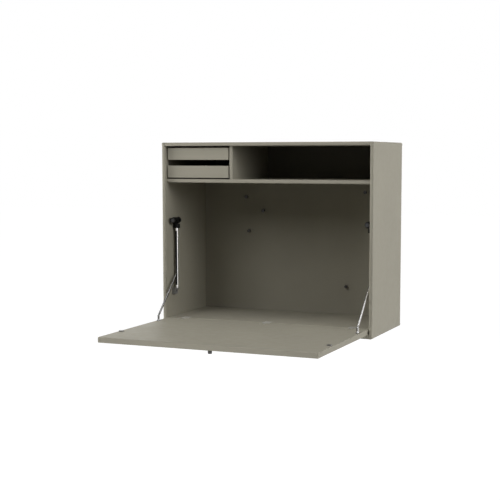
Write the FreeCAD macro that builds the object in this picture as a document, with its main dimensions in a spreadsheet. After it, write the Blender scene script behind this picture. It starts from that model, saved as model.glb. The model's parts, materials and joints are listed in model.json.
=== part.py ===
import FreeCAD
import Part
import Sketcher
import math
import os
import re

# Fold down wall desk, in millimetres. X runs to the right as seen from the front, Y runs into the wall
# and Z runs up. The origin is on the wall plane, below the middle of the carcass, at its underside.
# The flap is modelled folded down, as a desk in use.

Vector = FreeCAD.Vector
Placement = FreeCAD.Placement
Rotation = FreeCAD.Rotation

SIZES = {
    # Carcass boards
    "carcass_width": 696,
    "carcass_height": 583,
    "carcass_depth": 301,
    "board": 11,
    "corner_radius": 5,
    "bay_height": 103,
    "drawer_bay": 217.5,
    "shelf_setback": 11,
    "back_thickness": 8,
    "pinboard_thickness": 1.5,
    # Dowels that join the boards
    "dowel_diameter": 6,
    "dowel_in_face": 8,
    "dowel_in_end": 12,
    "dowel_inset": 40,
    "bore_clearance": 0.05,
    "bore_end_room": 0.5,
    # Plates for the two wall screws
    "wall_screw_spacing": 560,
    "wall_screw_drop": 36,
    "wall_screw_hole": 6.6,
    "wall_plate_side": 36,
    "wall_plate_thickness": 2.5,
    # Round magnets on the pin board: from the left or right inner face, and from the shelf or the floor
    "magnet_diameter": 10,
    "magnet_height": 8,
    "magnet_a_left": 153.5,
    "magnet_a_down": 52.6,
    "magnet_b_left": 214.8,
    "magnet_b_down": 98.1,
    "magnet_c_left": 162.8,
    "magnet_c_down": 165.6,
    "magnet_d_right": 105.4,
    "magnet_d_down": 32.7,
    "magnet_e_right": 167.7,
    "magnet_e_up": 90.7,
    # Flap
    "flap_thickness": 16,
    "flap_depth": 440,
    "flap_side_gap": 3,
    "flap_under_gap": 1.3,
    "flap_clear": 1,
    # Flap hinges
    "hinge_inset": 69,
    "leaf_width": 25,
    "leaf_thickness": 2,
    "leaf_fit": 0.15,
    "floor_leaf_length": 28,
    "flap_leaf_length": 20,
    "leaf_screw_spread": 14,
    "floor_screw_setback": 19,
    "flap_screw_setback": 12,
    "knuckle_diameter": 9,
    "knuckle_length": 10,
    "knuckle_gap": 0.3,
    "notch_clear": 2,
    "hinge_pin_diameter": 4,
    "running_clearance": 0.05,
    # Screws
    "screw_diameter": 3,
    "screw_head_diameter": 6,
    "screw_head_height": 1.7,
    "screw_socket_diameter": 2.2,
    "screw_socket_depth": 1,
    "short_screw_length": 10,
    "long_screw_length": 16,
    "screw_seat": 6,
    # Knob on the outer face of the flap
    "knob_setback": 41,
    "knob_length": 16,
    "knob_diameter": 12,
    "knob_neck_diameter": 8,
    "knob_neck_length": 5,
    "knob_round": 1.5,
    "knob_stud_diameter": 4,
    "knob_stud_in_flap": 9,
    "knob_stud_in_knob": 10,
    # Stays: slotted tubes, brackets with magnetic catches, arms and sliders
    "stay_inset": 22,
    "stay_setback": 56,
    "tube_diameter": 12,
    "tube_wall": 1,
    "tube_slot": 6.8,
    "tube_bottom": 119,
    "tube_seat": 12,
    "slot_margin": 9,
    "catch_height": 337,
    "catch_gap": 0.5,
    "bracket_diameter": 20,
    "bracket_tail": 6,
    "bracket_pad": 12,
    "nose_diameter": 15,
    "nose_taper": 8,
    "catch_offset": 3,
    "bracket_screw_inset": 12,
    "counterbore_diameter": 7,
    "collar_diameter": 21,
    "collar_height": 14,
    "collar_neck": 12,
    "collar_drop": 25.4,
    "catch_magnet_diameter": 10,
    "catch_magnet_depth": 5,
    "catch_magnet_sink": 0.3,
    "holder_height": 20,
    "holder_nose": 15,
    "holder_tail": 5,
    "holder_boss": 5,
    "plug_height": 8,
    "plug_fit": 0.1,
    "foot_reach": 72.4,
    "foot_height": 16,
    "foot_base_diameter": 11.5,
    "foot_base_height": 1.2,
    "foot_flare_diameter": 9.4,
    "foot_flare_height": 4,
    "foot_post_diameter": 6.6,
    "foot_crown": 3.3,
    "foot_round": 2.8,
    "foot_slot_room": 1,
    "foot_stud_diameter": 5,
    "foot_stud_length": 9,
    "foot_pin_diameter": 3,
    "foot_gap": 0.3,
    "arm_length": 178.7,
    "arm_diameter": 6,
    "foot_tongue_width": 5.2,
    "foot_tongue_length": 7,
    "tongue_thickness": 2.4,
    "tongue_width": 4.6,
    "tongue_length": 14,
    "tongue_gap": 0.1,
    "slider_width": 6,
    "slider_depth": 7.6,
    "slider_height": 18,
    "slider_bridge": 4,
    "slider_pin_diameter": 2.5,
    "strike_diameter": 15,
    "strike_thickness": 3,
    # Drawers and their runners
    "drawer_side_gap": 3.5,
    "drawer_low_gap": 4,
    "drawer_top_gap": 5.6,
    "drawer_front_height": 37.6,
    "drawer_front_thickness": 12,
    "drawer_lift": 2,
    "drawer_side_thickness": 9,
    "drawer_side_height": 30,
    "drawer_back_thickness": 8,
    "drawer_bottom_thickness": 4,
    "drawer_rear_room": 24,
    "runner_height": 8,
    "runner_clear": 0.3,
    "groove_depth": 4.5,
    "runner_screw_inset": 40,
}

# Places that follow from the sizes
PLACES = {
    "half_width": "carcass_width / 2",
    "inner": "half_width - board",
    "front": "-carcass_depth",
    "inset_front": "front + flap_thickness + flap_clear",
    "shelf_front": "front + shelf_setback",
    "ceiling": "carcass_height - board",
    "shelf_top": "ceiling - bay_height",
    "shelf_under": "shelf_top - board",
    "floor_top": "board + flap_under_gap + flap_thickness",
    "back_front": "-back_thickness",
    "pinboard_front": "back_front - pinboard_thickness",
    "divider_left": "drawer_bay - inner",
    "dowel_length": "dowel_in_face + dowel_in_end",
    "dowel_bore": "dowel_diameter + 2 * bore_clearance",
    "wall_screw_z": "ceiling - wall_screw_drop",
    "hinge_y": "front + flap_thickness / 2",
    "hinge_z": "floor_top - flap_thickness / 2",
    "hinge_x": "half_width - hinge_inset",
    "flap_width": "2 * (inner - flap_side_gap)",
    "flap_reach": "flap_depth - flap_thickness / 2",
    "notch_reach": "flap_thickness / 2 + notch_clear",
    "notch_edge": "hinge_y - notch_reach",
    "notch_width": "leaf_width + 2 * leaf_fit",
    "flap_knuckle": "(leaf_width - knuckle_length) / 2 - knuckle_gap",
    "hinge_bore": "hinge_pin_diameter + 2 * running_clearance",
    "knob_y": "hinge_y - flap_reach + knob_setback",
    "flap_under": "floor_top - flap_thickness",
    "stay_x": "half_width - stay_inset",
    "catch_x": "stay_x - catch_offset",
    "tube_y": "front + stay_setback",
    "collar_bottom": "catch_height - collar_drop",
    "tube_top": "collar_bottom + tube_seat",
    "tube_bore": "tube_diameter - 2 * tube_wall",
    "slot_bottom": "tube_bottom + slot_margin",
    "slot_top": "collar_bottom - slot_margin",
    "nose_front": "front + flap_thickness + strike_thickness + catch_gap",
    "bracket_back": "tube_y + bracket_tail",
    "barrel_front": "nose_front + nose_taper",
    "strike_y": "hinge_y - (catch_height - hinge_z)",
    "foot_y": "front - foot_reach",
    "foot_z": "floor_top + foot_height",
    "lean_run": "tube_y - foot_y",
    "slider_z": "foot_z + sqrt(arm_length ^ 2 - lean_run ^ 2)",
    "foot_bore": "foot_pin_diameter + 2 * running_clearance",
    "slider_bore": "slider_pin_diameter + 2 * running_clearance",
    "fork_gap": "tongue_thickness + 2 * tongue_gap",
    "foot_fork_gap": "tongue_thickness + 2 * foot_gap",
    "drawer_left": "drawer_side_gap - inner",
    "drawer_width": "drawer_bay - 2 * drawer_side_gap",
    "drawer_box_front": "shelf_front + drawer_front_thickness",
    "drawer_box_length": "-drawer_rear_room - drawer_box_front",
    "drawer_inside": "drawer_width - 2 * drawer_side_thickness",
    "runner_width": "drawer_side_gap + groove_depth - runner_clear",
    "runner_front": "drawer_box_front + runner_clear",
}

SIDES = {"left": -1, "right": 1}
HINGES = ("-hinge_x", "0", "hinge_x")
DOWEL_DEPTHS = ("front + dowel_inset", "front / 2", "-dowel_inset")
DIVIDER_DOWEL_DEPTHS = ("shelf_front + dowel_inset", "-dowel_inset")
MAGNETS = {
    "a": ("-inner + magnet_a_left", "shelf_under - magnet_a_down"),
    "b": ("-inner + magnet_b_left", "shelf_under - magnet_b_down"),
    "c": ("-inner + magnet_c_left", "shelf_under - magnet_c_down"),
    "d": ("inner - magnet_d_right", "shelf_under - magnet_d_down"),
    "e": ("inner - magnet_e_right", "floor_top + magnet_e_up"),
}
DRAWERS = {
    "upper": "ceiling - drawer_top_gap - drawer_front_height",
    "lower": "shelf_top + drawer_low_gap",
}

# Turns that point a piece drawn along +Z along another axis
TURNS = {
    "z": Rotation(),
    "-z": Rotation(Vector(1, 0, 0), 180),
    "x": Rotation(Vector(0, 1, 0), 90),
    "-x": Rotation(Vector(0, 1, 0), -90),
    "y": Rotation(Vector(1, 0, 0), -90),
}
# Margin by which a cutting tool passes the face that it opens
PAST = "1"
# How near an edge's ends lie to a plane that it belongs to
TOUCH = 0.001

doc = FreeCAD.newDocument("wall_desk")
nodes = {}


# Sheet and formulas

def make_sheet():
    """Spreadsheet with one named cell for each size."""
    sheet = doc.addObject("Spreadsheet::Sheet", "Sizes")
    for row, (name, value) in enumerate(SIZES.items(), start=1):
        sheet.set(f"A{row}", name)
        sheet.set(f"B{row}", str(value))
        sheet.setAlias(f"B{row}", name)
    doc.recompute()


def formula(text):
    """Expression on the sheet for a formula of size and place names."""
    def swap(match):
        word = match.group()
        if word in PLACES:
            return "(" + formula(PLACES[word]) + ")"
        return "Sizes." + word if word in SIZES else word
    return re.sub(r"[a-z_]+", swap, text)


def bind(item, **formulas):
    for name, text in formulas.items():
        item.setExpression(name, formula(text))


def place(item, x, y, z):
    for axis, text in zip("xyz", (x, y, z)):
        item.setExpression("Placement.Base." + axis, formula(text))
    return item


def node(label, item):
    """Keep an item as a sub-part under its own label."""
    item.Label = label
    nodes[label] = item
    return item


# Solids from primitives and booleans

def block(name, size, corner):
    """Rectangular block with its lowest corner at a place."""
    item = doc.addObject("Part::Box", name)
    bind(item, Length=size[0], Width=size[1], Height=size[2])
    return place(item, *corner)


def rod(name, diameter, length, start, axis="z"):
    """Round rod from the middle of its first end, along an axis."""
    item = doc.addObject("Part::Cylinder", name)
    item.Placement = Placement(Vector(), TURNS[axis])
    bind(item, Radius=f"({diameter}) / 2", Height=length)
    return place(item, *start)


def taper(name, diameters, length, start, axis="z"):
    """Round taper from its first diameter to its second, along an axis."""
    item = doc.addObject("Part::Cone", name)
    item.Placement = Placement(Vector(), TURNS[axis])
    bind(item, Radius1=f"({diameters[0]}) / 2", Radius2=f"({diameters[1]}) / 2", Height=length)
    return place(item, *start)


def group(name, items):
    item = doc.addObject("Part::Compound", name)
    item.Links = items
    return item


def join(name, items):
    item = doc.addObject("Part::MultiFuse", name)
    item.Shapes = items
    return item


def cut(name, base, tools):
    item = doc.addObject("Part::Cut", name)
    item.Base = base
    item.Tool = join(name + "_tools", tools) if len(tools) > 1 else tools[0]
    return item


def copies(name, pattern, spots):
    """One linked copy of a pattern piece at each spot: x, y, z and the axis that it points along."""
    links = []
    for count, (x, y, z, axis) in enumerate(spots):
        link = doc.addObject("App::Link", f"{name}_{count}")
        link.LinkedObject = pattern
        link.Placement = Placement(Vector(), TURNS[axis])
        links.append(place(link, x, y, z))
    return links


# Bodies from sketches

def sketch_on(body, name, plane):
    sketch = body.newObject("Sketcher::SketchObject", name)
    origin_plane = next(item for item in body.Origin.OriginFeatures if item.Role == plane)
    sketch.AttachmentSupport = [(origin_plane, "")]
    sketch.MapMode = "FlatFace"
    return sketch


def polygon(sketch, points):
    """Closed outline whose corners are bound to formulas for their two distances from the sketch's origin."""
    count = len(points)
    turns = [2 * math.pi * i / count for i in range(count)]
    drafts = [Vector(math.cos(turn), math.sin(turn), 0) for turn in turns]
    for i in range(count):
        sketch.addGeometry(Part.LineSegment(drafts[i], drafts[(i + 1) % count]), False)
    for i in range(count):
        sketch.addConstraint(Sketcher.Constraint("Coincident", i, 2, (i + 1) % count, 1))
    for i, corner in enumerate(points):
        for kind, draft, text in zip(("DistanceX", "DistanceY"), drafts[i], corner):
            place_on_axis(sketch, kind, i, draft, text)


def place_on_axis(sketch, kind, line, draft, text):
    """Bind one distance from the sketch's origin to a line's start."""
    index = sketch.addConstraint(Sketcher.Constraint(kind, -1, 1, line, 1, draft))
    name = f"{kind}_{line}"
    sketch.renameConstraint(index, name)
    sketch.setExpression("Constraints." + name, formula(text))


def pad(body, sketch, length):
    item = body.newObject("PartDesign::Pad", sketch.Name + "_pad")
    item.Profile = sketch
    bind(item, Length=length)
    return item


def rounded(body, base, radius, wanted):
    """Round the edges of a body's feature that a test picks."""
    doc.recompute()
    names = [f"Edge{i}" for i, edge in enumerate(base.Shape.Edges, start=1) if wanted(edge)]
    item = body.newObject("PartDesign::Fillet", base.Name + "_round")
    item.Base = (base, names)
    bind(item, Radius=radius)


def turned_body(name, outline):
    """Body turned about its own Z axis from an outline of radii and heights, and the feature that made it."""
    body = doc.addObject("PartDesign::Body", name)
    sketch = sketch_on(body, name + "_profile", "XZ_Plane")
    polygon(sketch, outline)
    turned = body.newObject("PartDesign::Revolution", name + "_turned")
    turned.Profile = sketch
    turned.ReferenceAxis = (sketch, ["V_Axis"])
    turned.Angle = 360
    doc.recompute()
    return body, turned


def is_ring(edge):
    """True for an edge that runs round at one height."""
    return edge.BoundBox.ZLength < TOUCH


def board(name, size, corner):
    """Board padded up from a rectangle, with its lowest corner at a place."""
    body = doc.addObject("PartDesign::Body", name)
    sketch = sketch_on(body, name + "_outline", "XY_Plane")
    polygon(sketch, [("0", "0"), (size[0], "0"), (size[0], size[1]), ("0", size[1])])
    pad(body, sketch, size[2])
    return place(body, *corner)


# Screws and dowels, drawn once and copied to their places

def make_screw(name, length):
    """Countersunk screw with a round socket, pointing along +Z from its head's face."""
    head = taper(name + "_head", ("screw_head_diameter", "screw_diameter"), "screw_head_height",
                 ("0", "0", "0"))
    shank = rod(name + "_shank", "screw_diameter", length, ("0", "0", "0"))
    socket = rod(name + "_socket", "screw_socket_diameter", "screw_socket_depth", ("0", "0", "0"))
    return cut(name, join(name + "_blank", [head, shank]), [socket])


def make_screw_hole(name, length):
    """Countersunk pilot hole for a screw."""
    wide, narrow = "screw_head_diameter + 2 * bore_clearance", "screw_diameter + 2 * bore_clearance"
    head = taper(name + "_head", (wide, narrow), "screw_head_height", ("0", "0", "0"))
    shank = rod(name + "_shank", narrow, f"{length} + bore_end_room", ("0", "0", "0"))
    return join(name, [head, shank])


def make_patterns():
    dowel = rod("dowel_rod", "dowel_diameter", "dowel_length - 2 * bore_end_room", ("0", "0", "bore_end_room"))
    bore = rod("dowel_bore_rod", "dowel_bore", "dowel_length", ("0", "0", "0"))
    return {
        "dowel": group("dowel_pattern", [dowel]),
        "dowel_bore": group("dowel_bore_pattern", [bore]),
        "short": make_screw("short_screw", "short_screw_length"),
        "short_hole": make_screw_hole("short_screw_hole", "short_screw_length"),
        "long": make_screw("long_screw", "long_screw_length"),
        "long_hole": make_screw_hole("long_screw_hole", "long_screw_length"),
    }


def end_dowels(side, level):
    """Spots of the dowels that run from a side into the end of a board at a level."""
    x = f"{side} * (inner + dowel_in_face)"
    axis = "-x" if side > 0 else "x"
    return [(x, depth, level, axis) for depth in DOWEL_DEPTHS]


def divider_dowels(level, axis):
    """Spots of the dowels that run from the face of a board into the divider's end."""
    return [("divider_left + board / 2", depth, level, axis) for depth in DIVIDER_DOWEL_DEPTHS]


BOARD_LEVELS = {
    "bottom_board": "board / 2",
    "shelf": "shelf_under + board / 2",
    "top_board": "carcass_height - board / 2",
}
DIVIDER_DOWELS = {
    "shelf": divider_dowels("shelf_top - dowel_in_face", "z"),
    "top_board": divider_dowels("ceiling + dowel_in_face", "-z"),
}


# Spots of the screws, each with the axis that the screw points along

def bracket_screws(side):
    x = f"{side} * (inner - screw_seat)"
    depths = ("nose_front + bracket_screw_inset", "bracket_back - bracket_screw_inset")
    return [(x, depth, "catch_height", "x" if side > 0 else "-x") for depth in depths]


def holder_screws(side):
    x = f"{side} * (inner - screw_seat)"
    return [(x, "tube_y - holder_nose / 2", "tube_bottom - holder_height / 2", "x" if side > 0 else "-x")]


def runner_level(drawer):
    """Underside of a drawer's runners."""
    return f"{DRAWERS[drawer]} + drawer_lift + (drawer_side_height - runner_height) / 2"


def runner_screws(side):
    """Screws through the runners on one wall of the drawer bay."""
    x = "-inner + runner_width" if side < 0 else "divider_left - runner_width"
    depths = ("runner_front + runner_screw_inset", "-drawer_rear_room - runner_screw_inset")
    axis = "x" if side > 0 else "-x"
    return [(x, depth, f"{runner_level(drawer)} + runner_height / 2", axis)
            for drawer in DRAWERS for depth in depths]


def leaf_screws(y):
    return [(f"{x} + {end} * leaf_screw_spread / 2", y, "floor_top", "-z") for x in HINGES for end in (-1, 1)]


def strike_screws():
    return [(f"{side} * catch_x", "strike_y", "floor_top + strike_thickness", "-z") for side in SIDES.values()]


# Carcass

def make_sides():
    """Full-height sides with rounded outer corners, bored for dowels and screws."""
    for name, side in SIDES.items():
        label = name + "_side"
        corner = "-half_width" if side < 0 else "inner"
        body = board(label + "_board", ("board", "carcass_depth", "carcass_height"), (corner, "front", "0"))
        doc.recompute()
        outer = body.Shape.BoundBox.XMin if side < 0 else body.Shape.BoundBox.XMax
        outer -= body.Placement.Base.x
        rounded(body, body.Tip, "corner_radius", lambda edge: is_outer_corner(edge, outer))
        tools = []
        for joint, level in BOARD_LEVELS.items():
            tools += copies(f"{label}_{joint}_bore", patterns["dowel_bore"], end_dowels(side, level))
        spots = bracket_screws(side) + holder_screws(side)
        if side < 0:
            spots += runner_screws(side)
        tools += copies(label + "_pilot", patterns["long_hole"], spots)
        node(label, cut(label, body, tools))


def is_outer_corner(edge, outer):
    """True for an edge along Y on a side's outer face."""
    along_y = abs(edge.BoundBox.YLength - edge.Length) < TOUCH
    return along_y and abs(edge.BoundBox.Center.x - outer) < TOUCH


def make_level_boards():
    """Top, bottom and shelf, dowelled between the sides."""
    corners = {"bottom_board": "0", "shelf": "shelf_under", "top_board": "ceiling"}
    for label, level in BOARD_LEVELS.items():
        start, depth = "front", "carcass_depth"
        if label == "shelf":
            start, depth = "shelf_front", "back_front - shelf_front"
        body = board(label + "_blank", ("2 * inner", depth, "board"), ("-inner", start, corners[label]))
        tools = []
        for name, side in SIDES.items():
            tools += copies(f"{label}_{name}_bore", patterns["dowel_bore"], end_dowels(side, level))
        if label in DIVIDER_DOWELS:
            tools += copies(f"{label}_divider_bore", patterns["dowel_bore"], DIVIDER_DOWELS[label])
        node(label, cut(label, body, tools))


def make_divider():
    body = board("divider_blank", ("board", "back_front - shelf_front", "bay_height"),
                 ("divider_left", "shelf_front", "shelf_top"))
    tools = copies("divider_low_bore", patterns["dowel_bore"], DIVIDER_DOWELS["shelf"])
    tools += copies("divider_top_bore", patterns["dowel_bore"], DIVIDER_DOWELS["top_board"])
    tools += copies("divider_pilot", patterns["long_hole"], runner_screws(1))
    node("divider", cut("divider", body, tools))


def make_dowels():
    spots = []
    for level in BOARD_LEVELS.values():
        for side in SIDES.values():
            spots += end_dowels(side, level)
    for joint in DIVIDER_DOWELS.values():
        spots += joint
    node("joint_dowels", group("joint_dowels", copies("dowel", patterns["dowel"], spots)))


def make_inner_floor():
    """Raised floor, level with the open flap, recessed for the hinges' fixed leaves."""
    body = board("inner_floor_blank", ("2 * inner", "back_front - inset_front", "floor_top - board"),
                 ("-inner", "inset_front", "board"))
    tools = copies("floor_pilot", patterns["short_hole"], leaf_screws("inset_front + floor_screw_setback"))
    for count, x in enumerate(HINGES):
        size = ("notch_width", f"floor_leaf_length + leaf_fit + {PAST}", f"leaf_thickness + {PAST}")
        corner = (f"{x} - notch_width / 2", f"inset_front - {PAST}", "floor_top - leaf_thickness")
        tools.append(block(f"floor_recess_{count}", size, corner))
    node("inner_floor", cut("inner_floor", body, tools))


def wall_holes(name):
    """Tools for the two wall screws' holes."""
    return [rod(f"{name}_{count}", "wall_screw_hole", f"back_thickness + wall_plate_thickness + 2 * {PAST}",
                (f"{side} * wall_screw_spacing / 2", f"back_front - wall_plate_thickness - {PAST}",
                 "wall_screw_z"),
                "y") for count, side in enumerate(SIDES.values())]


def make_back():
    """Back panel between the boards, a steel pin board on it below the shelf and plates for the wall screws."""
    body = board("back_blank", ("2 * inner", "back_thickness", "ceiling - board"),
                 ("-inner", "back_front", "board"))
    node("back_panel", cut("back_panel", body, wall_holes("back_hole")))
    node("pin_board", board("pin_board", ("2 * inner", "pinboard_thickness", "shelf_under - floor_top"),
                            ("-inner", "pinboard_front", "floor_top")))
    plates = [block(f"wall_plate_{count}", ("wall_plate_side", "wall_plate_thickness", "wall_plate_side"),
                    (f"{side} * wall_screw_spacing / 2 - wall_plate_side / 2",
                     "back_front - wall_plate_thickness", "wall_screw_z - wall_plate_side / 2"))
              for count, side in enumerate(SIDES.values())]
    node("wall_plates", cut("wall_plates", group("wall_plate_pair", plates), wall_holes("plate_hole")))


def make_back_magnets():
    magnets = [rod(f"back_magnet_{name}", "magnet_diameter", "magnet_height",
                   (x, "pinboard_front - magnet_height", z), "y")
               for name, (x, z) in MAGNETS.items()]
    node("back_magnets", group("back_magnets", magnets))


# Flap

def make_flap():
    """Flap with a round rear edge about the hinge axis, notched for the hinges and bored for its fittings."""
    body = doc.addObject("PartDesign::Body", "flap_blank")
    sketch = sketch_on(body, "flap_profile", "YZ_Plane")
    draw_flap_profile(sketch)
    bind(sketch, **{"AttachmentOffset.Base.z": "-flap_width / 2"})
    pad(body, sketch, "flap_width")
    place(body, "0", "hinge_y", "hinge_z")
    tools = copies("flap_pilot", patterns["short_hole"],
                   leaf_screws("notch_edge - flap_screw_setback") + strike_screws())
    for count, x in enumerate(HINGES):
        tools.append(hinge_notch(count, x))
    stud = "knob_stud_diameter + 2 * bore_clearance"
    tools.append(rod("knob_stud_hole", stud, "knob_stud_in_flap + bore_end_room",
                     ("0", "knob_y", "flap_under")))
    for name, side in SIDES.items():
        tools.append(rod(name + "_foot_hole", "foot_stud_diameter + 2 * bore_clearance",
                         "foot_stud_length + bore_end_room",
                         (f"{side} * stay_x", "foot_y", "floor_top - foot_stud_length - bore_end_room")))
    node("flap_panel", cut("flap_panel", body, tools))


def draw_flap_profile(sketch):
    """Flap seen from its end: square free edge, half-round rear edge centred on the sketch's origin."""
    half = SIZES["flap_thickness"] / 2
    far = half - SIZES["flap_depth"]
    start = Vector(0, -half, 0)
    far_low = Vector(far, -half, 0)
    far_high = Vector(far, half, 0)
    end = Vector(0, half, 0)
    sketch.addGeometry(Part.LineSegment(start, far_low), False)
    sketch.addGeometry(Part.LineSegment(far_low, far_high), False)
    sketch.addGeometry(Part.LineSegment(far_high, end), False)
    circle = Part.Circle(Vector(), Vector(0, 0, 1), half)
    sketch.addGeometry(Part.ArcOfCircle(circle, -math.pi / 2, math.pi / 2), False)
    ends = ((0, 2, 1, 1), (1, 2, 2, 1), (0, 1, 3, 1), (2, 2, 3, 2), (3, 3, -1, 1))
    for line, line_end, other, other_end in ends:
        sketch.addConstraint(Sketcher.Constraint("Coincident", line, line_end, other, other_end))
    sketch.addConstraint(Sketcher.Constraint("Horizontal", 0))
    sketch.addConstraint(Sketcher.Constraint("Vertical", 1))
    sketch.addConstraint(Sketcher.Constraint("Horizontal", 2))
    for arc_end in (1, 2):
        sketch.addConstraint(Sketcher.Constraint("PointOnObject", 3, arc_end, -2))
    radius = sketch.addConstraint(Sketcher.Constraint("Radius", 3, half))
    sketch.renameConstraint(radius, "edge_radius")
    reach = sketch.addConstraint(Sketcher.Constraint("DistanceX", 0, 2, 0, 1, -far))
    sketch.renameConstraint(reach, "reach")
    sketch.setExpression("Constraints.edge_radius", formula("flap_thickness / 2"))
    sketch.setExpression("Constraints.reach", formula("flap_reach"))


def hinge_notch(count, x):
    """Room in the flap for a hinge's knuckles, and the recess of its moving leaf."""
    left = f"{x} - notch_width / 2"
    notch = block(f"notch_{count}",
                  ("notch_width", "notch_reach + flap_thickness", f"flap_thickness + 2 * {PAST}"),
                  (left, "notch_edge", f"flap_under - {PAST}"))
    recess = block(f"flap_recess_{count}",
                   ("notch_width", f"flap_leaf_length + leaf_fit + {PAST}", f"leaf_thickness + {PAST}"),
                   (left, "notch_edge - flap_leaf_length - leaf_fit", "floor_top - leaf_thickness"))
    return join(f"hinge_room_{count}", [notch, recess])


def make_hinges():
    """Three hinges: a fixed leaf in the inner floor, a moving leaf in the flap and a pin on the axis."""
    fixed, moving, pins = [], [], []
    for count, x in enumerate(HINGES):
        fixed.append(floor_leaf(count, x))
        moving.append(flap_leaf(count, x))
        pins.append(rod(f"hinge_pin_{count}", "hinge_pin_diameter", "leaf_width",
                        (f"{x} - leaf_width / 2", "hinge_y", "hinge_z"), "x"))
    node("hinge_floor_leaves", group("hinge_floor_leaves", fixed))
    node("hinge_flap_leaves", group("hinge_flap_leaves", moving))
    node("hinge_pins", group("hinge_pins", pins))
    fixed_screws = copies("floor_leaf_screw", patterns["short"],
                          leaf_screws("inset_front + floor_screw_setback"))
    moving_screws = copies("flap_leaf_screw", patterns["short"],
                           leaf_screws("notch_edge - flap_screw_setback"))
    node("floor_leaf_screws", group("floor_leaf_screws", fixed_screws))
    node("flap_leaf_screws", group("flap_leaf_screws", moving_screws))


def leaf_holes(name, x, y):
    """Tools for one leaf: its two screw holes and the bore for the pin."""
    spots = [spot for spot in leaf_screws(y) if spot[0].startswith(f"{x} + ")]
    bore = rod(name + "_bore", "hinge_bore", f"leaf_width + 2 * {PAST}",
               (f"{x} - leaf_width / 2 - {PAST}", "hinge_y", "hinge_z"), "x")
    return copies(name + "_hole", patterns["short_hole"], spots) + [bore]


def floor_leaf(count, x):
    name = f"floor_leaf_{count}"
    plate = block(name + "_plate", ("leaf_width", "floor_leaf_length", "leaf_thickness"),
                  (f"{x} - leaf_width / 2", "inset_front", "floor_top - leaf_thickness"))
    neck = block(name + "_neck", ("knuckle_length", "inset_front - hinge_y", "floor_top - hinge_z"),
                 (f"{x} - knuckle_length / 2", "hinge_y", "hinge_z"))
    knuckle = rod(name + "_knuckle", "knuckle_diameter", "knuckle_length",
                  (f"{x} - knuckle_length / 2", "hinge_y", "hinge_z"), "x")
    return cut(name, join(name + "_blank", [plate, neck, knuckle]),
               leaf_holes(name, x, "inset_front + floor_screw_setback"))


def flap_leaf(count, x):
    name = f"flap_leaf_{count}"
    solids = [block(name + "_plate", ("leaf_width", "flap_leaf_length", "leaf_thickness"),
                    (f"{x} - leaf_width / 2", "notch_edge - flap_leaf_length", "floor_top - leaf_thickness"))]
    for end, start in (("left", f"{x} - leaf_width / 2"), ("right", f"{x} + leaf_width / 2 - flap_knuckle")):
        solids.append(block(f"{name}_{end}_neck", ("flap_knuckle", "notch_reach", "floor_top - hinge_z"),
                            (start, "notch_edge", "hinge_z")))
        solids.append(rod(f"{name}_{end}_knuckle", "knuckle_diameter", "flap_knuckle",
                          (start, "hinge_y", "hinge_z"), "x"))
    return cut(name, join(name + "_blank", solids), leaf_holes(name, x, "notch_edge - flap_screw_setback"))


def make_knob():
    """Turned knob on the outer face of the flap, and the stud that holds it."""
    neck, head = "knob_neck_diameter / 2", "knob_diameter / 2"
    body, turned = turned_body("knob_blank", [("0", "0"), ("0", "-knob_length"), (head, "-knob_length"),
                                              (head, "-knob_neck_length"), (neck, "-knob_neck_length"),
                                              (neck, "0")])
    widest = turned.Shape.BoundBox.XMax
    rounded(body, turned, "knob_round", lambda edge: abs(edge.BoundBox.XMax - widest) < TOUCH and is_ring(edge))
    place(body, "0", "knob_y", "flap_under")
    hole = rod("knob_hole", "knob_stud_diameter + 2 * bore_clearance", "knob_stud_in_knob + bore_end_room",
               ("0", "knob_y", "flap_under - knob_stud_in_knob - bore_end_room"))
    node("flap_knob", cut("flap_knob", body, [hole]))
    node("knob_stud", rod("knob_stud", "knob_stud_diameter", "knob_stud_in_flap + knob_stud_in_knob",
                          ("0", "knob_y", "flap_under - knob_stud_in_knob")))


def make_strikes():
    """Steel discs on the flap that meet the magnetic catches."""
    discs = [rod(name + "_strike", "strike_diameter", "strike_thickness",
                 (f"{side} * catch_x", "strike_y", "floor_top")) for name, side in SIDES.items()]
    holes = copies("strike_hole", patterns["short_hole"], strike_screws())
    node("strike_plates", cut("strike_plates", group("strike_discs", discs), holes))
    node("strike_screws", group("strike_screws", copies("strike_screw", patterns["short"], strike_screws())))


# Stays

def make_tube(name, x):
    """Chrome tube with a slot along its front for the arm."""
    label = name + "_stay_tube"
    outer = rod(label + "_outer", "tube_diameter", "tube_top - tube_bottom", (x, "tube_y", "tube_bottom"))
    bore = rod(label + "_bore", "tube_bore", f"tube_top - tube_bottom + 2 * {PAST}",
               (x, "tube_y", f"tube_bottom - {PAST}"))
    slot = block(label + "_slot", ("tube_slot", "tube_diameter", "slot_top - slot_bottom"),
                 (f"{x} - tube_slot / 2", "tube_y - tube_diameter", "slot_bottom"))
    node(label, cut(label, outer, [bore, slot]))


def beyond_wall(name, side, y, length, z, height):
    """Tool that trims a fitting flat against a side's inner face."""
    corner = "inner" if side > 0 else "-inner - bracket_diameter"
    return block(name, ("bracket_diameter", length, height), (corner, y, z))


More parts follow.
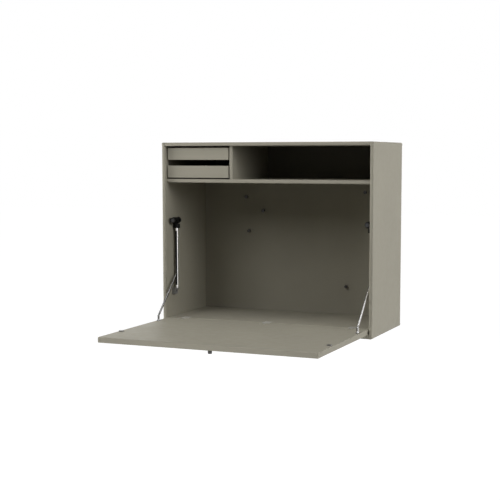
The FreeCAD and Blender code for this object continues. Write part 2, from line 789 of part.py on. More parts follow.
def make_bracket(name, side, x):
    """Black bracket: a tapered barrel with a catch magnet in its nose, a wall pad and a collar for the tube."""
    label = name + "_stay_bracket"
    catch = f"{side} * catch_x"
    nose = taper(label + "_nose", ("nose_diameter", "bracket_diameter"), "nose_taper",
                 (catch, "nose_front", "catch_height"), "y")
    barrel = rod(label + "_barrel", "bracket_diameter", "bracket_back - barrel_front",
                 (catch, "barrel_front", "catch_height"), "y")
    pad_start = "catch_x" if side > 0 else "-inner"
    pad_block = block(label + "_pad", ("inner - catch_x", "bracket_back - barrel_front", "bracket_pad"),
                      (pad_start, "barrel_front", "catch_height - bracket_pad / 2"))
    collar = rod(label + "_collar", "collar_diameter", "collar_height", (x, "tube_y", "collar_bottom"))
    neck = rod(label + "_neck", "collar_neck", "collar_drop", (x, "tube_y", "collar_bottom"))
    tools = [beyond_wall(label + "_trim", side,
                         f"nose_front - {PAST}", "bracket_back - nose_front + collar_diameter",
                         f"collar_bottom - {PAST}", f"collar_drop + bracket_diameter + {PAST}")]
    tools.append(rod(label + "_seat",
                     "tube_diameter + 2 * bore_clearance", f"tube_seat + bore_clearance + {PAST}",
                     (x, "tube_y", f"collar_bottom - {PAST}")))
    tools.append(rod(label + "_pocket", "catch_magnet_diameter + 2 * bore_clearance",
                     f"catch_magnet_depth + catch_magnet_sink + {PAST}",
                     (catch, f"nose_front - {PAST}", "catch_height"), "y"))
    spots = bracket_screws(side)
    tools += copies(label + "_hole", patterns["long_hole"], spots)
    tools += [counterbore(f"{label}_counterbore_{count}", spot) for count, spot in enumerate(spots)]
    node(label, cut(label, join(label + "_blank", [nose, barrel, pad_block, collar, neck]), tools))
    node(name + "_catch_magnet", rod(name + "_catch_magnet", "catch_magnet_diameter", "catch_magnet_depth",
                                     (catch, "nose_front + catch_magnet_sink", "catch_height"), "y"))


def counterbore(name, spot):
    """Tool that opens the way to a screw's head from the middle of the desk."""
    x, y, z, axis = spot
    start = f"{x} - bracket_diameter" if axis == "x" else x
    return rod(name, "counterbore_diameter", "bracket_diameter", (start, y, z), "x")


def make_holder(name, side, x):
    """Grey holder between the side and the tube's lower end, with a boss under the tube and a plug in it."""
    label = name + "_stay_holder"
    start = "stay_x" if side > 0 else "-inner"
    body = block(label + "_block", ("inner - stay_x", "holder_nose + holder_tail", "holder_height"),
                 (start, "tube_y - holder_nose", "tube_bottom - holder_height"))
    boss = rod(label + "_boss", "tube_diameter", "holder_boss", (x, "tube_y", "tube_bottom - holder_boss"))
    plug = rod(label + "_plug", "tube_bore - 2 * plug_fit", "holder_boss + plug_height",
               (x, "tube_y", "tube_bottom - holder_boss"))
    spots = holder_screws(side)
    tools = copies(label + "_hole", patterns["long_hole"], spots)
    tools.append(counterbore(label + "_counterbore", spots[0]))
    node(label, cut(label, join(label + "_blank", [body, boss, plug]), tools))


def make_slider(name, x):
    """Fork that runs in the tube's slot, with the arm's tongue between its cheeks."""
    label = name + "_slider"
    solid = block(label + "_blank", ("slider_width", "slider_depth", "slider_height"),
                  (f"{x} - slider_width / 2", "tube_y - slider_depth / 2", "slider_z - slider_height / 2"))
    fork = block(label + "_fork",
                 ("fork_gap", f"slider_depth + 2 * {PAST}", f"slider_height - slider_bridge + {PAST}"),
                 (f"{x} - fork_gap / 2", f"tube_y - slider_depth / 2 - {PAST}",
                  f"slider_z - slider_height / 2 - {PAST}"))
    bore = rod(label + "_bore", "slider_bore", "slider_width",
               (f"{x} - slider_width / 2", "tube_y", "slider_z"), "x")
    node(label, cut(label, solid, [fork, bore]))
    node(name + "_slider_pin", rod(name + "_slider_pin", "slider_pin_diameter", "slider_width",
                                   (f"{x} - slider_width / 2", "tube_y", "slider_z"), "x"))


def make_arm(name, x):
    """Round arm with a flat tongue at each end, drawn upright from its foot pivot, then leaned back."""
    label = name + "_stay_arm"
    solids = [rod(label + "_shaft", "arm_diameter", "arm_length - foot_tongue_length - tongue_length",
                  ("0", "0", "foot_tongue_length"))]
    tools = []
    for end, pivot, start, length, width, bore in (
            ("foot", "0", "0", "foot_tongue_length", "foot_tongue_width", "foot_bore"),
            ("tip", "arm_length", f"arm_length - tongue_length - {PAST}", "tongue_length", "tongue_width",
             "slider_bore")):
        solids.append(block(f"{label}_{end}_tongue", ("tongue_thickness", width, f"{length} + {PAST}"),
                            ("-tongue_thickness / 2", f"-{width} / 2", start)))
        solids.append(rod(f"{label}_{end}_round", width, "tongue_thickness",
                          ("-tongue_thickness / 2", "0", pivot), "x"))
        tools.append(rod(f"{label}_{end}_bore", bore, f"tongue_thickness + 2 * {PAST}",
                         (f"-tongue_thickness / 2 - {PAST}", "0", pivot), "x"))
    arm = cut(label, join(label + "_blank", solids), tools)
    arm.Placement = Placement(Vector(), TURNS["y"])
    bind(arm, **{"Placement.Rotation.Angle": "-asin(lean_run / arm_length)"})
    node(label, place(arm, x, "foot_y", "foot_z"))


def make_foot(name, x):
    """Slim turned post on the flap, with a stud below, a fork for the arm's tongue and a pin across it."""
    label = name + "_stay_foot"
    stud, base, flare, post = (f"{size} / 2" for size in ("foot_stud_diameter", "foot_base_diameter",
                                                          "foot_flare_diameter", "foot_post_diameter"))
    top = "foot_height + foot_crown"
    body, turned = turned_body(label + "_blank", [
        ("0", "-foot_stud_length"), (stud, "-foot_stud_length"), (stud, "0"), (base, "0"),
        (base, "foot_base_height"),
        (flare, "foot_base_height"), (post, "foot_base_height + foot_flare_height"), (post, top), ("0", top)])
    crown = turned.Shape.BoundBox.ZMax
    rounded(body, turned, "foot_round", lambda edge: is_ring(edge) and abs(edge.BoundBox.ZMax - crown) < TOUCH)
    place(body, x, "foot_y", "floor_top")
    drop = "(foot_tongue_width / 2 + foot_slot_room)"
    fork = block(label + "_fork",
                 ("foot_fork_gap", f"foot_post_diameter + 2 * {PAST}", f"foot_crown + {drop} + {PAST}"),
                 (f"{x} - foot_fork_gap / 2", f"foot_y - foot_post_diameter / 2 - {PAST}", f"foot_z - {drop}"))
    start = (f"{x} - foot_post_diameter / 2", "foot_y", "foot_z")
    bore = rod(label + "_bore", "foot_bore", "foot_post_diameter", start, "x")
    node(label, cut(label, body, [fork, bore]))
    node(name + "_foot_pin", rod(name + "_foot_pin", "foot_pin_diameter", "foot_post_diameter", start, "x"))


def make_stays():
    screws = []
    for name, side in SIDES.items():
        x = f"{side} * stay_x"
        make_tube(name, x)
        make_bracket(name, side, x)
        make_holder(name, side, x)
        make_slider(name, x)
        make_arm(name, x)
        make_foot(name, x)
        screws += bracket_screws(side) + holder_screws(side)
    node("stay_screws", group("stay_screws", copies("stay_screw", patterns["long"], screws)))


# Drawers

def make_drawer(name):
    """Open tray: a front, two grooved sides, a back and a bottom."""
    label = name + "_drawer"
    level = DRAWERS[name]
    low = f"{level} + drawer_lift"
    rear = "-drawer_rear_room - drawer_back_thickness"
    within = "drawer_left + drawer_side_thickness"
    node(label + "_front", board(label + "_front",
                                 ("drawer_width", "drawer_front_thickness", "drawer_front_height"),
                                 ("drawer_left", "shelf_front", level)))
    node(label + "_sides", group(label + "_sides", [drawer_side(label, low, end) for end in SIDES]))
    node(label + "_back", board(label + "_back",
                                ("drawer_inside", "drawer_back_thickness", "drawer_side_height"),
                                (within, rear, low)))
    node(label + "_bottom", board(label + "_bottom",
                                  ("drawer_inside", "drawer_box_length - drawer_back_thickness",
                                   "drawer_bottom_thickness"), (within, "drawer_box_front", low)))


def drawer_side(label, low, end):
    """One side of a drawer, grooved along its outer face for the runner."""
    name = f"{label}_{end}_side"
    left = "drawer_left" if end == "left" else "drawer_left + drawer_width - drawer_side_thickness"
    side = board(name, ("drawer_side_thickness", "drawer_box_length", "drawer_side_height"),
                 (left, "drawer_box_front", low))
    start = f"drawer_left - {PAST}" if end == "left" else "drawer_left + drawer_width - groove_depth"
    height = "runner_height + 2 * runner_clear"
    groove = block(name + "_groove", (f"groove_depth + {PAST}", f"drawer_box_length + 2 * {PAST}", height),
                   (start, f"drawer_box_front - {PAST}", f"{low} + (drawer_side_height - ({height})) / 2"))
    return cut(name + "_grooved", side, [groove])


def make_runners():
    """Strips on both walls of the bay, which fill the drawers' grooves and stop their fronts."""
    strips, screws, holes = [], [], []
    for name in DRAWERS:
        for end, left in (("left", "-inner"), ("right", "divider_left - runner_width")):
            strips.append(block(f"{name}_{end}_runner",
                                ("runner_width", "-drawer_rear_room - runner_front", "runner_height"),
                                (left, "runner_front", runner_level(name))))
    for side in SIDES.values():
        screws += copies("runner_screw", patterns["long"], runner_screws(side))
        holes += copies("runner_hole", patterns["long_hole"], runner_screws(side))
    node("drawer_runners", cut("drawer_runners", group("runner_strips", strips), holes))
    node("runner_screws", group("runner_screws", screws))


def check():
    """Stop if anything failed to build or is not a sound solid."""
    doc.recompute()
    failed = [item.Label for item in doc.Objects if "Invalid" in item.State or "Error" in item.State]
    failed += [label for label, item in nodes.items() if item.Shape.isNull() or not item.Shape.isValid()]
    failed += [label for label, item in nodes.items() if not item.Shape.Solids]
    if failed:
        raise RuntimeError("failed: " + ", ".join(failed))


def export():
    os.makedirs("parts", exist_ok=True)
    for label, item in nodes.items():
        item.Shape.exportStep(f"parts/{label}.step")


make_sheet()
patterns = make_patterns()
make_sides()
make_level_boards()
make_divider()
make_dowels()
make_inner_floor()
make_back()
make_back_magnets()
make_flap()
make_hinges()
make_knob()
make_strikes()
make_stays()
for drawer_name in DRAWERS:
    make_drawer(drawer_name)
make_runners()
check()
export()
for label, item in nodes.items():
    print(label, len(item.Shape.Solids), round(item.Shape.Volume, 1))
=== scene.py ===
import json
import math

import bmesh
import bpy
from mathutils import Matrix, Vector


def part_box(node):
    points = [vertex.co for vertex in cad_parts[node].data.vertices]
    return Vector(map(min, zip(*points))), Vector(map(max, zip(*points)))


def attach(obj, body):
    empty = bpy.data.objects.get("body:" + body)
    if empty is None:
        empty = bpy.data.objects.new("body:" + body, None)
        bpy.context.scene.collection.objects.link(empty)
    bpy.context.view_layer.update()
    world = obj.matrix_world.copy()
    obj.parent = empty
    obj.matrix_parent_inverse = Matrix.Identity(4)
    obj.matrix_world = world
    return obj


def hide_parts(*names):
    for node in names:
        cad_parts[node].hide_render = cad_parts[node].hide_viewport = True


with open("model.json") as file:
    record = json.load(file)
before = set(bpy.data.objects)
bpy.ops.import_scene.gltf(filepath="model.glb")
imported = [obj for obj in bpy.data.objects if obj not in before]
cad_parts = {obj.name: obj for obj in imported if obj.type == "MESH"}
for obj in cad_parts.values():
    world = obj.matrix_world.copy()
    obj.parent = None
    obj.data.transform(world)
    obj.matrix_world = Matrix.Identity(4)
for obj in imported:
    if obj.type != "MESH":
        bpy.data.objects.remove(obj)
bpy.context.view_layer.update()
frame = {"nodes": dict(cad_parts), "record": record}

# Fold down wall desk, dressed around its CAD frame. Lengths are in metres, in the frame's own axes:
# X to the right seen from the front, Y into the wall, Z up.

SLOT_OF = {row["node"]: row["material_slot"] for row in frame["record"]["subparts"]}
BODY_OF = {node: body for body, nodes in frame["record"]["behaviour"]["bodies"].items() for node in nodes}
MM = 0.001

# The photograph's camera: a square picture, its focal length and optical centre in pixels, angles in degrees
PICTURE_SIDE = 500
FOCAL_PX = 1120.95
OPTICAL_CENTRE_PX = (263.95, 264.44)
CAMERA_PLACE = (1.32443, -3.44771, 0.53632)
CAMERA_YAW = 22.81
CAMERA_PITCH = 5.45
SENSOR_MM = 36.0

# Stage: the desk hangs at sitting height above a pale floor, which glows a little more further out
FLOOR_LEVEL = -0.70
FLOOR_SIDE = 40.0
FLOOR_COAT = 0.15
FLOOR_LIFT = (0.92, 1.0)
FLOOR_FADE = (1.4, 3.2)

# Soft lamps round the desk: azimuth from the front towards the right and elevation, both in degrees,
# level at the desk and the lamp's side
LAMP_AIM = (0, -0.25, 0.28)
LAMP_DISTANCE = 3.5
LAMPS = {
    "right": (102, -2, 1.02, 1.6),
    "right_high": (76, 18, 1.52, 1.6),
    "left": (-76, 5, 3.7, 1.6),
    "front_left": (-30, 34, 0.92, 1.6),
    "front_right": (48, 27, 0.12, 1.4),
    "rear": (-160, 28, 0.95, 1.6),
    "top": (-105, 65, 0.32, 1.6),
    "front_top": (24, 63, 0.80, 1.6),
}

# A small lamp below the flap, aimed at its front edge, and the lamps that don't show in reflections
LOW_LAMP = (0, -50, 2.6, 0.6)
LOW_LAMP_DISTANCE = 0.82
UNREFLECTED_LAMPS = ("left", "low")

# Room: its level on matt surfaces and in reflections, and the white sides that reflections see,
# each with the cosines from its middle between which it comes up
AMBIENT = 0.02
DIM_ROOM = 0.06
BACKDROPS = {(1.0, 0.2, 0.0): (-0.1, 0.4), (-0.385, 0.923, 0.0): (0.80, 0.96)}

# Finish of the edges: fronts and the flap's outline are rounded, other arrises eased, joints left tight
WELD = 2e-6
TOUCH = 0.05 * MM
FLAT_ANGLE = math.radians(0.5)
SHARP_ANGLE = math.radians(32)
SHORT_ARRIS = 6 * MM
ROUNDED_EDGE = {
    "left_side": 3.0 * MM,
    "right_side": 3.0 * MM,
    "top_board": 3.0 * MM,
    "bottom_board": 3.0 * MM,
    "shelf": 2.5 * MM,
    "divider": 2.5 * MM,
    "flap_panel": 2.0 * MM,
    "upper_drawer_front": 1.0 * MM,
    "lower_drawer_front": 1.0 * MM,
}
ROUNDED_ENDS = ("left_side", "right_side", "flap_panel")
EASED_EDGE = {
    "lacquer": 0.6 * MM,
    "painted_steel": 0.25 * MM,
}
EDGE_STEPS = 4

# Colours, as linear light
OLIVE = (0.300, 0.283, 0.230)
# Factor that darkens the back panel's lacquer: painted shade for the dim bays
BACK_PAINTED_SHADE = 0.5
LIGHT_BEECH = (0.68, 0.52, 0.33)
DARK_BEECH = (0.50, 0.34, 0.19)
STEEL = (0.78, 0.77, 0.76)
ARM_STEEL = (0.62, 0.61, 0.60)
# Left arm: the arms' steel darkened, as painted shade
LEFT_ARM_PAINTED_SHADE_STEEL = (0.30, 0.296, 0.292)
FOOT_STEEL = (0.30, 0.295, 0.29)
SCREW_STEEL = (0.48, 0.47, 0.45)
CATCH_STEEL = (0.08, 0.08, 0.08)
# Painted shade and shadow, dark and matt: in the tube bores and round the feet's bases
PAINTED_SHADE_BLACK = (0.02, 0.02, 0.02)
ZINC = (0.40, 0.39, 0.36)
HOLDER_GREY = (0.17, 0.165, 0.16)
STRIKE_GREY = (0.15, 0.145, 0.135)
KNOB_GREY = (0.07, 0.068, 0.062)
MAGNET_BLACK = (0.03, 0.028, 0.026)
SLIDER_BLACK = (0.02, 0.02, 0.02)
BRACKET_BLACK = (0.005, 0.005, 0.005)
# Painted sheen on the brackets' noses
PAINTED_SHEEN_GREY = (0.035, 0.034, 0.032)

# Where painted marks start: painted shade in a tube's bore, a painted shadow round a foot's base and a
# painted sheen on a bracket's nose; and the roughness of what is dulled there
TUBE_SKIN = 0.3 * MM
PAINTED_SHADOW_BAND = 1.3 * MM
PAINTED_SHEEN_DEPTH = 2 * MM
DULL_ROUGHNESS = 0.7

# Grains across a patch of even gloss on moulded pieces
GLOSS_PATCH = 8


# Small helpers for node trees

def new_material(name):
    material = bpy.data.materials.new(name)
    material.use_nodes = True
    return material, material.node_tree, material.node_tree.nodes["Principled BSDF"]


def add(tree, kind, **settings):
    """New node with its properties and unlinked sockets set by name."""
    item = tree.nodes.new(kind)
    for name, value in settings.items():
        if hasattr(item, name):
            setattr(item, name, value)
        else:
            item.inputs[name.replace("_", " ")].default_value = value
    return item


def place(tree):
    """Place on a piece, in the frame's own metres."""
    return add(tree, "ShaderNodeTexCoord").outputs["Object"]


def coordinate(tree, axis):
    item = add(tree, "ShaderNodeSeparateXYZ")
    tree.links.new(place(tree), item.inputs["Vector"])
    return item.outputs[axis]


def noise(tree, scale, detail, stretch=(1, 1, 1)):
    """Noise in the frame's own metres: scale counts its features in one metre."""
    mapping = add(tree, "ShaderNodeMapping", Scale=stretch)
    texture = add(tree, "ShaderNodeTexNoise", Scale=scale, Detail=detail)
    tree.links.new(place(tree), mapping.inputs["Vector"])
    tree.links.new(mapping.outputs["Vector"], texture.inputs["Vector"])
    return texture.outputs["Fac"]


def spread(tree, value, low, high, source=(0.3, 0.7)):
    """Value stretched from its source range, which is a noise's unless given, to a range from low to high."""
    item = add(tree, "ShaderNodeMapRange", From_Min=source[0], From_Max=source[1], To_Min=low, To_Max=high)
    tree.links.new(value, item.inputs["Value"])
    return item.outputs["Result"]


def less_than(tree, value, limit):
    """1 where the value is below the limit, 0 elsewhere."""
    item = add(tree, "ShaderNodeMath", operation="LESS_THAN")
    item.inputs[1].default_value = limit
    tree.links.new(value, item.inputs[0])
    return item.outputs[0]


def highest(tree, values):
    total = values[0]
    for value in values[1:]:
        either = add(tree, "ShaderNodeMath", operation="MAXIMUM")
        tree.links.new(total, either.inputs[0])
        tree.links.new(value, either.inputs[1])
        total = either.outputs[0]
    return total


def tone(colour, factor):
    return tuple(channel * factor for channel in colour)


def vary_colour(tree, shader, pattern, first, second):
    """Base colour that goes from one colour to another with a noise pattern."""
    item = add(tree, "ShaderNodeMix", data_type="RGBA")
    item.inputs["A"].default_value = (*first, 1)
    item.inputs["B"].default_value = (*second, 1)
    tree.links.new(spread(tree, pattern, 0, 1), item.inputs["Factor"])
    tree.links.new(item.outputs["Result"], shader.inputs["Base Color"])


def vary_roughness(tree, shader, pattern, low, high):
    tree.links.new(spread(tree, pattern, low, high), shader.inputs["Roughness"])


def bump(tree, shader, height, strength, depth):
    item = add(tree, "ShaderNodeBump", Strength=strength, Distance=depth)
    tree.links.new(height, item.inputs["Height"])
    tree.links.new(item.outputs["Normal"], shader.inputs["Normal"])


def dull(material, where, colour):
    """Gives a surface a dull colour, bare of metal shine, where the factor is 1; used for painted shade,
    painted shadow and painted sheen.
    """
    tree = material.node_tree
    shader = tree.nodes["Principled BSDF"]
    for socket, value in (("Base Color", (*colour, 1)), ("Roughness", DULL_ROUGHNESS), ("Metallic", 0)):
        mix = add(tree, "ShaderNodeMix", data_type="RGBA" if socket == "Base Color" else "FLOAT")
        factor, usual, changed = (item for item in mix.inputs if item.enabled)
        linked = shader.inputs[socket].links
        if linked:
            tree.links.new(linked[0].from_socket, usual)
        else:
            usual.default_value = shader.inputs[socket].default_value
        changed.default_value = value
        tree.links.new(where, factor)
        tree.links.new(next(item for item in mix.outputs if item.enabled), shader.inputs[socket])


# Materials

def lacquer(name, colour):
    """Matt sprayed lacquer: faint clouds in the colour, a slightly uneven gloss and a fine orange peel."""
    material, tree, shader = new_material(name)
    vary_colour(tree, shader, noise(tree, scale=7, detail=4), tone(colour, 0.97), tone(colour, 1.03))
    vary_roughness(tree, shader, noise(tree, scale=55, detail=3), low=0.52, high=0.62)
    shader.inputs["Specular IOR Level"].default_value = 0.15
    bump(tree, shader, noise(tree, scale=620, detail=1), strength=0.03, depth=0.3 * MM)
    return material


def metal(name, colour, rough, scale, stretch=(1, 1, 1)):
    """Bare metal whose gloss varies along fine lines or spots."""
    material, tree, shader = new_material(name)
    lines = noise(tree, scale, detail=2, stretch=stretch)
    vary_colour(tree, shader, lines, tone(colour, 0.93), tone(colour, 1.05))
    vary_roughness(tree, shader, lines, *rough)
    shader.inputs["Metallic"].default_value = 1
    bump(tree, shader, lines, strength=0.04, depth=0.05 * MM)
    return material


def satin_steel(name, colour):
    """Steel with fine lines along its length."""
    return metal(name, colour, rough=(0.18, 0.26), scale=2500, stretch=(1, 1, 0.02))


def tube_steel(name):
    """Satin steel whose bore, within the tube's skin, is painted dark and matt as shade."""
    material = satin_steel(name, STEEL)
    tree = material.node_tree
    low, high = (Vector(corner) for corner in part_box(name))
    apart = add(tree, "ShaderNodeVectorMath", operation="SUBTRACT")
    apart.inputs[1].default_value = (low + high) / 2
    flat = add(tree, "ShaderNodeVectorMath", operation="MULTIPLY")
    flat.inputs[1].default_value = (1, 1, 0)
    reach = add(tree, "ShaderNodeVectorMath", operation="LENGTH")
    tree.links.new(place(tree), apart.inputs[0])
    tree.links.new(apart.outputs["Vector"], flat.inputs[0])
    tree.links.new(flat.outputs["Vector"], reach.inputs[0])
    # Inside this radius the bore is painted dark and matt: painted shade
    painted_shade_radius = (high.x - low.x) / 2 - TUBE_SKIN
    dull(material, less_than(tree, reach.outputs["Value"], painted_shade_radius), PAINTED_SHADE_BLACK)
    return material


def foot_steel(name):
    """Satin steel, painted dark and matt in a band just above the flap: a painted contact shadow."""
    material = satin_steel(name, FOOT_STEEL)
    tree = material.node_tree
    # A painted contact shadow, dark and matt, up to this height above the flap
    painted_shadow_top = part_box("flap_panel")[1][2] + PAINTED_SHADOW_BAND
    dull(material, less_than(tree, coordinate(tree, "Z"), painted_shadow_top), PAINTED_SHADE_BLACK)
    return material


def moulded(name, colour, rough, grain, shine=0.5):
    """Moulded plastic or coated metal with a fine grain."""
    material, tree, shader = new_material(name)
    pores = noise(tree, grain, detail=2)
    vary_colour(tree, shader, pores, tone(colour, 0.8), tone(colour, 1.2))
    vary_roughness(tree, shader, noise(tree, grain / GLOSS_PATCH, detail=2), *rough)
    shader.inputs["Specular IOR Level"].default_value = shine
    bump(tree, shader, pores, strength=0.15, depth=0.1 * MM)
    return material


def bracket_plastic(name):
    """Black plastic with a painted grey sheen on the nose that the flap closes against."""
    material = moulded(name, BRACKET_BLACK, rough=(0.40, 0.50), grain=2200, shine=0.1)
    tree = material.node_tree
    # A painted sheen, grey and matt, on the nose's front up to this depth
    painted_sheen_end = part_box("left_stay_bracket")[0][1] + PAINTED_SHEEN_DEPTH
    dull(material, less_than(tree, coordinate(tree, "Y"), painted_sheen_end), PAINTED_SHEEN_GREY)
    return material


def raw_wood(name):
    """Bare wood with its grain along X."""
    material, tree, shader = new_material(name)
    grain = noise(tree, scale=900, detail=3, stretch=(0.05, 1, 1))
    vary_colour(tree, shader, grain, DARK_BEECH, LIGHT_BEECH)
    vary_roughness(tree, shader, grain, low=0.6, high=0.8)
    return material


def make_materials():
    """The material of each slot."""
    return {
        "lacquer": lacquer("olive_lacquer", OLIVE),
        "painted_steel": lacquer("olive_lacquered_steel", OLIVE),
        "dowel_wood": raw_wood("beech"),
        "zinc": moulded("satin_zinc", ZINC, rough=(0.40, 0.50), grain=1500),
        "magnet_black": moulded("magnet_black", MAGNET_BLACK, rough=(0.30, 0.42), grain=1500),
        "screw_steel": metal("screw_steel", SCREW_STEEL, rough=(0.25, 0.38), scale=900),
        "chrome": satin_steel("chrome", ARM_STEEL),
        "black_plastic": bracket_plastic("black_plastic"),
        "slider_plastic": moulded("slider_plastic", SLIDER_BLACK, rough=(0.40, 0.50), grain=2200),
        "catch_magnet": metal("catch_magnet", CATCH_STEEL, rough=(0.30, 0.40), scale=1200),
        "dark_metal": moulded("dark_metal", KNOB_GREY, rough=(0.35, 0.45), grain=1800),
    }


def own_material(name):
    """Material of a node that differs from the rest of its slot."""
    if name.endswith("_stay_tube"):
        return tube_steel(name)
    if name.endswith("_stay_foot"):
        return foot_steel(name)
    # The left arm gets a darker steel than the right: painted shade
    if name == "left_stay_arm":
        return satin_steel(name, LEFT_ARM_PAINTED_SHADE_STEEL)
    if name.endswith("_stay_holder"):
        return moulded(name, HOLDER_GREY, rough=(0.40, 0.50), grain=1500)
    if name == "strike_plates":
        return moulded(name, STRIKE_GREY, rough=(0.40, 0.50), grain=1800)
    # Back panel: the olive lacquer darkened, as painted shade
    if name == "back_panel":
        return lacquer("painted_shade_lacquer", tone(OLIVE, BACK_PAINTED_SHADE))
    return None


# Pieces

def inside(point, box):
    return all(low - TOUCH <= value <= high + TOUCH for low, value, high in zip(box[0], point, box[1]))


def on_front(edge, box, ends):
    """Whether an edge lies on its board's front, or on an end as well where ends is true."""
    planes = [(1, box[0][1])]
    if ends:
        planes += [(0, box[0][0]), (0, box[1][0])]
    return any(all(abs(vert.co[axis] - level) < TOUCH for vert in edge.verts) for axis, level in planes)


def welded_form(name):
    """Form of a CAD node with whole flat faces; the sides are split level with the boards between them."""
    form = bmesh.new()
    form.from_mesh(frame["nodes"][name].data)
    bmesh.ops.remove_doubles(form, verts=form.verts, dist=WELD)
    bmesh.ops.dissolve_limit(form, angle_limit=FLAT_ANGLE, verts=form.verts, edges=form.edges)
    if name in ("left_side", "right_side"):
        for level in (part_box("bottom_board")[1][2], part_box("top_board")[0][2]):
            bmesh.ops.bisect_plane(form, geom=[*form.verts, *form.edges, *form.faces], dist=WELD,
                                   plane_co=(0, 0, level), plane_no=(0, 0, 1))
    return form


def weigh_arrises(form, name, eased_width, widest):
    """Gives each open arris its share of the widest rounding; arrises in a joint get none."""
    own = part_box(name)
    neighbours = [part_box(other) for other in SLOT_OF
                  if other != name and SLOT_OF[other] in EASED_EDGE and BODY_OF[other] == BODY_OF[name]]
    weights = form.edges.layers.float.new("bevel_weight_edge")
    for edge in form.edges:
        middle = (edge.verts[0].co + edge.verts[1].co) / 2
        if edge.calc_face_angle(0) < SHARP_ANGLE or edge.calc_length() < SHORT_ARRIS:
            continue
        if any(inside(middle, box) for box in neighbours):
            continue
        front = name in ROUNDED_EDGE and on_front(edge, own, name in ROUNDED_ENDS)
        edge[weights] = 1 if front else eased_width / widest


def eased(name, eased_width):
    """Copy of a CAD node with its arrises rounded, which rides on the node's body and stands for it."""
    widest = ROUNDED_EDGE.get(name, eased_width)
    form = welded_form(name)
    weigh_arrises(form, name, eased_width, widest)
    mesh = bpy.data.meshes.new(name + "_eased")
    form.to_mesh(mesh)
    form.free()
    if "custom_normal" in mesh.attributes:
        mesh.attributes.remove(mesh.attributes["custom_normal"])
    mesh.shade_smooth()
    mesh.set_sharp_from_angle(angle=SHARP_ANGLE)
    piece = bpy.data.objects.new(name + "_eased", mesh)
    bpy.context.scene.collection.objects.link(piece)
    rounding = piece.modifiers.new("rounding", "BEVEL")
    rounding.limit_method = "WEIGHT"
    rounding.width = widest
    rounding.segments = EDGE_STEPS
    rounding.use_clamp_overlap = False
    flats = piece.modifiers.new("flats", "WEIGHTED_NORMAL")
    flats.keep_sharp = True
    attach(piece, BODY_OF[name])
    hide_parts(name)
    return piece


def finish_nodes(materials):
    """Eases the boards' edges and gives every node its material."""
    for name, slot in SLOT_OF.items():
        piece = eased(name, EASED_EDGE[slot]) if slot in EASED_EDGE else frame["nodes"][name]
        piece.data.materials.clear()
        piece.data.materials.append(own_material(name) or materials[slot])


# Stage, light and camera

def faced(tree, side, fade):
    """1 for rays that go towards a side, and the dim room's level for the others."""
    towards = add(tree, "ShaderNodeVectorMath", operation="DOT_PRODUCT")
    towards.inputs[1].default_value = side
    tree.links.new(add(tree, "ShaderNodeTexCoord").outputs["Generated"], towards.inputs[0])
    return spread(tree, towards.outputs["Value"], DIM_ROOM, 1, fade)


def any_ray(tree, kinds):
    """1 for rays of these kinds, 0 for the others."""
    path = add(tree, "ShaderNodeLightPath")
    return highest(tree, [path.outputs[kind] for kind in kinds])


def mix_shaders(tree, factor, first, second):
    item = add(tree, "ShaderNodeMixShader")
    tree.links.new(factor, item.inputs[0])
    tree.links.new(first, item.inputs[1])
    tree.links.new(second, item.inputs[2])
    return item.outputs[0]


def make_world():
    """White backdrop for the camera; reflections see it on the right and behind, and a dim room elsewhere."""
    world = bpy.data.worlds.new("studio")
    bpy.context.scene.world = world
    world.use_nodes = True
    tree = world.node_tree
    tree.nodes.clear()
    ambient = add(tree, "ShaderNodeBackground", Color=(1, 1, 1, 1), Strength=AMBIENT)
    reflected = add(tree, "ShaderNodeBackground", Color=(1, 1, 1, 1))
    sides = [faced(tree, side, fade) for side, fade in BACKDROPS.items()]
    tree.links.new(highest(tree, sides), reflected.inputs["Strength"])
    white = add(tree, "ShaderNodeBackground", Color=(1, 1, 1, 1), Strength=1)
    surface = mix_shaders(tree, any_ray(tree, ["Is Glossy Ray", "Is Transmission Ray"]),
                          ambient.outputs[0], reflected.outputs[0])
    surface = mix_shaders(tree, any_ray(tree, ["Is Camera Ray"]), surface, white.outputs[0])
    tree.links.new(surface, add(tree, "ShaderNodeOutputWorld").inputs["Surface"])


def floor_material():
    """Matt coat that takes the desk's shadow, lifted to white where it is seen or reflected."""
    material = bpy.data.materials.new("pale_floor")
    material.use_nodes = True
    tree = material.node_tree
    tree.nodes.clear()
    coat = add(tree, "ShaderNodeBsdfDiffuse", Color=(FLOOR_COAT, FLOOR_COAT, FLOOR_COAT, 1))
    lift = add(tree, "ShaderNodeEmission", Color=(1, 1, 1, 1))
    reach = add(tree, "ShaderNodeVectorMath", operation="LENGTH")
    tree.links.new(place(tree), reach.inputs[0])
    share = add(tree, "ShaderNodeMath", operation="MULTIPLY")
    tree.links.new(any_ray(tree, ["Is Camera Ray", "Is Glossy Ray", "Is Transmission Ray"]), share.inputs[0])
    tree.links.new(spread(tree, reach.outputs["Value"], *FLOOR_LIFT, FLOOR_FADE), share.inputs[1])
    tree.links.new(share.outputs[0], lift.inputs["Strength"])
    both = add(tree, "ShaderNodeAddShader")
    tree.links.new(coat.outputs[0], both.inputs[0])
    tree.links.new(lift.outputs[0], both.inputs[1])
    tree.links.new(both.outputs[0], add(tree, "ShaderNodeOutputMaterial").inputs["Surface"])
    return material


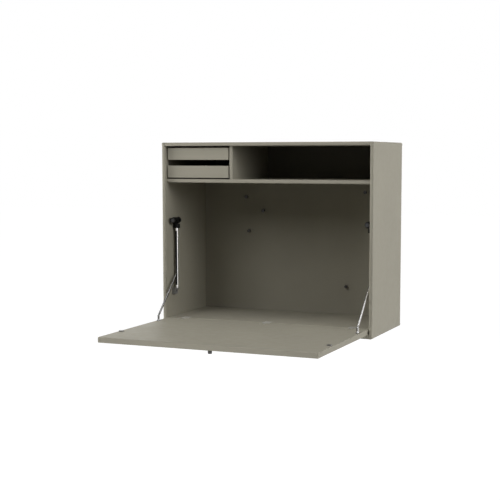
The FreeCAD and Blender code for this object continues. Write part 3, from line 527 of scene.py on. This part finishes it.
def make_floor():
    mesh = bpy.data.meshes.new("floor")
    half = FLOOR_SIDE / 2
    corners = [(x, y, FLOOR_LEVEL) for x, y in ((-half, -half), (half, -half), (half, half), (-half, half))]
    mesh.from_pydata(corners, [], [(0, 1, 2, 3)])
    mesh.materials.append(floor_material())
    floor = bpy.data.objects.new("floor", mesh)
    bpy.context.scene.collection.objects.link(floor)


def make_lamp(name, azimuth, elevation, level, side, distance=LAMP_DISTANCE, aim=LAMP_AIM):
    """Square soft lamp aimed at the desk; level is its irradiance there, in watts for each square metre."""
    turn, rise = math.radians(azimuth), math.radians(elevation)
    towards = Vector((math.sin(turn) * math.cos(rise), -math.cos(turn) * math.cos(rise), math.sin(rise)))
    data = bpy.data.lights.new(name, "AREA")
    data.size = side
    data.energy = level * math.pi * distance ** 2
    lamp = bpy.data.objects.new(name, data)
    lamp.location = Vector(aim) + distance * towards
    lamp.rotation_euler = towards.to_track_quat("Z", "Y").to_euler()
    lamp.visible_glossy = name not in UNREFLECTED_LAMPS
    bpy.context.scene.collection.objects.link(lamp)


def make_lamps():
    for name, settings in LAMPS.items():
        make_lamp(name, *settings)
    flap_front, flap_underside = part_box("flap_panel")[0][1:]
    make_lamp("low", *LOW_LAMP, LOW_LAMP_DISTANCE, (0, flap_front, flap_underside))


def make_camera():
    data = bpy.data.cameras.new("photo_camera")
    data.sensor_width = SENSOR_MM
    data.lens = FOCAL_PX / PICTURE_SIDE * SENSOR_MM
    data.shift_x = (PICTURE_SIDE / 2 - OPTICAL_CENTRE_PX[0]) / PICTURE_SIDE
    data.shift_y = (OPTICAL_CENTRE_PX[1] - PICTURE_SIDE / 2) / PICTURE_SIDE
    camera = bpy.data.objects.new("photo_camera", data)
    camera.location = CAMERA_PLACE
    camera.rotation_euler = (math.radians(90 - CAMERA_PITCH), 0, math.radians(CAMERA_YAW))
    bpy.context.scene.collection.objects.link(camera)
    bpy.context.scene.camera = camera


finish_nodes(make_materials())
make_world()
make_floor()
make_lamps()
make_camera()
bpy.context.scene.view_settings.view_transform = "Standard"
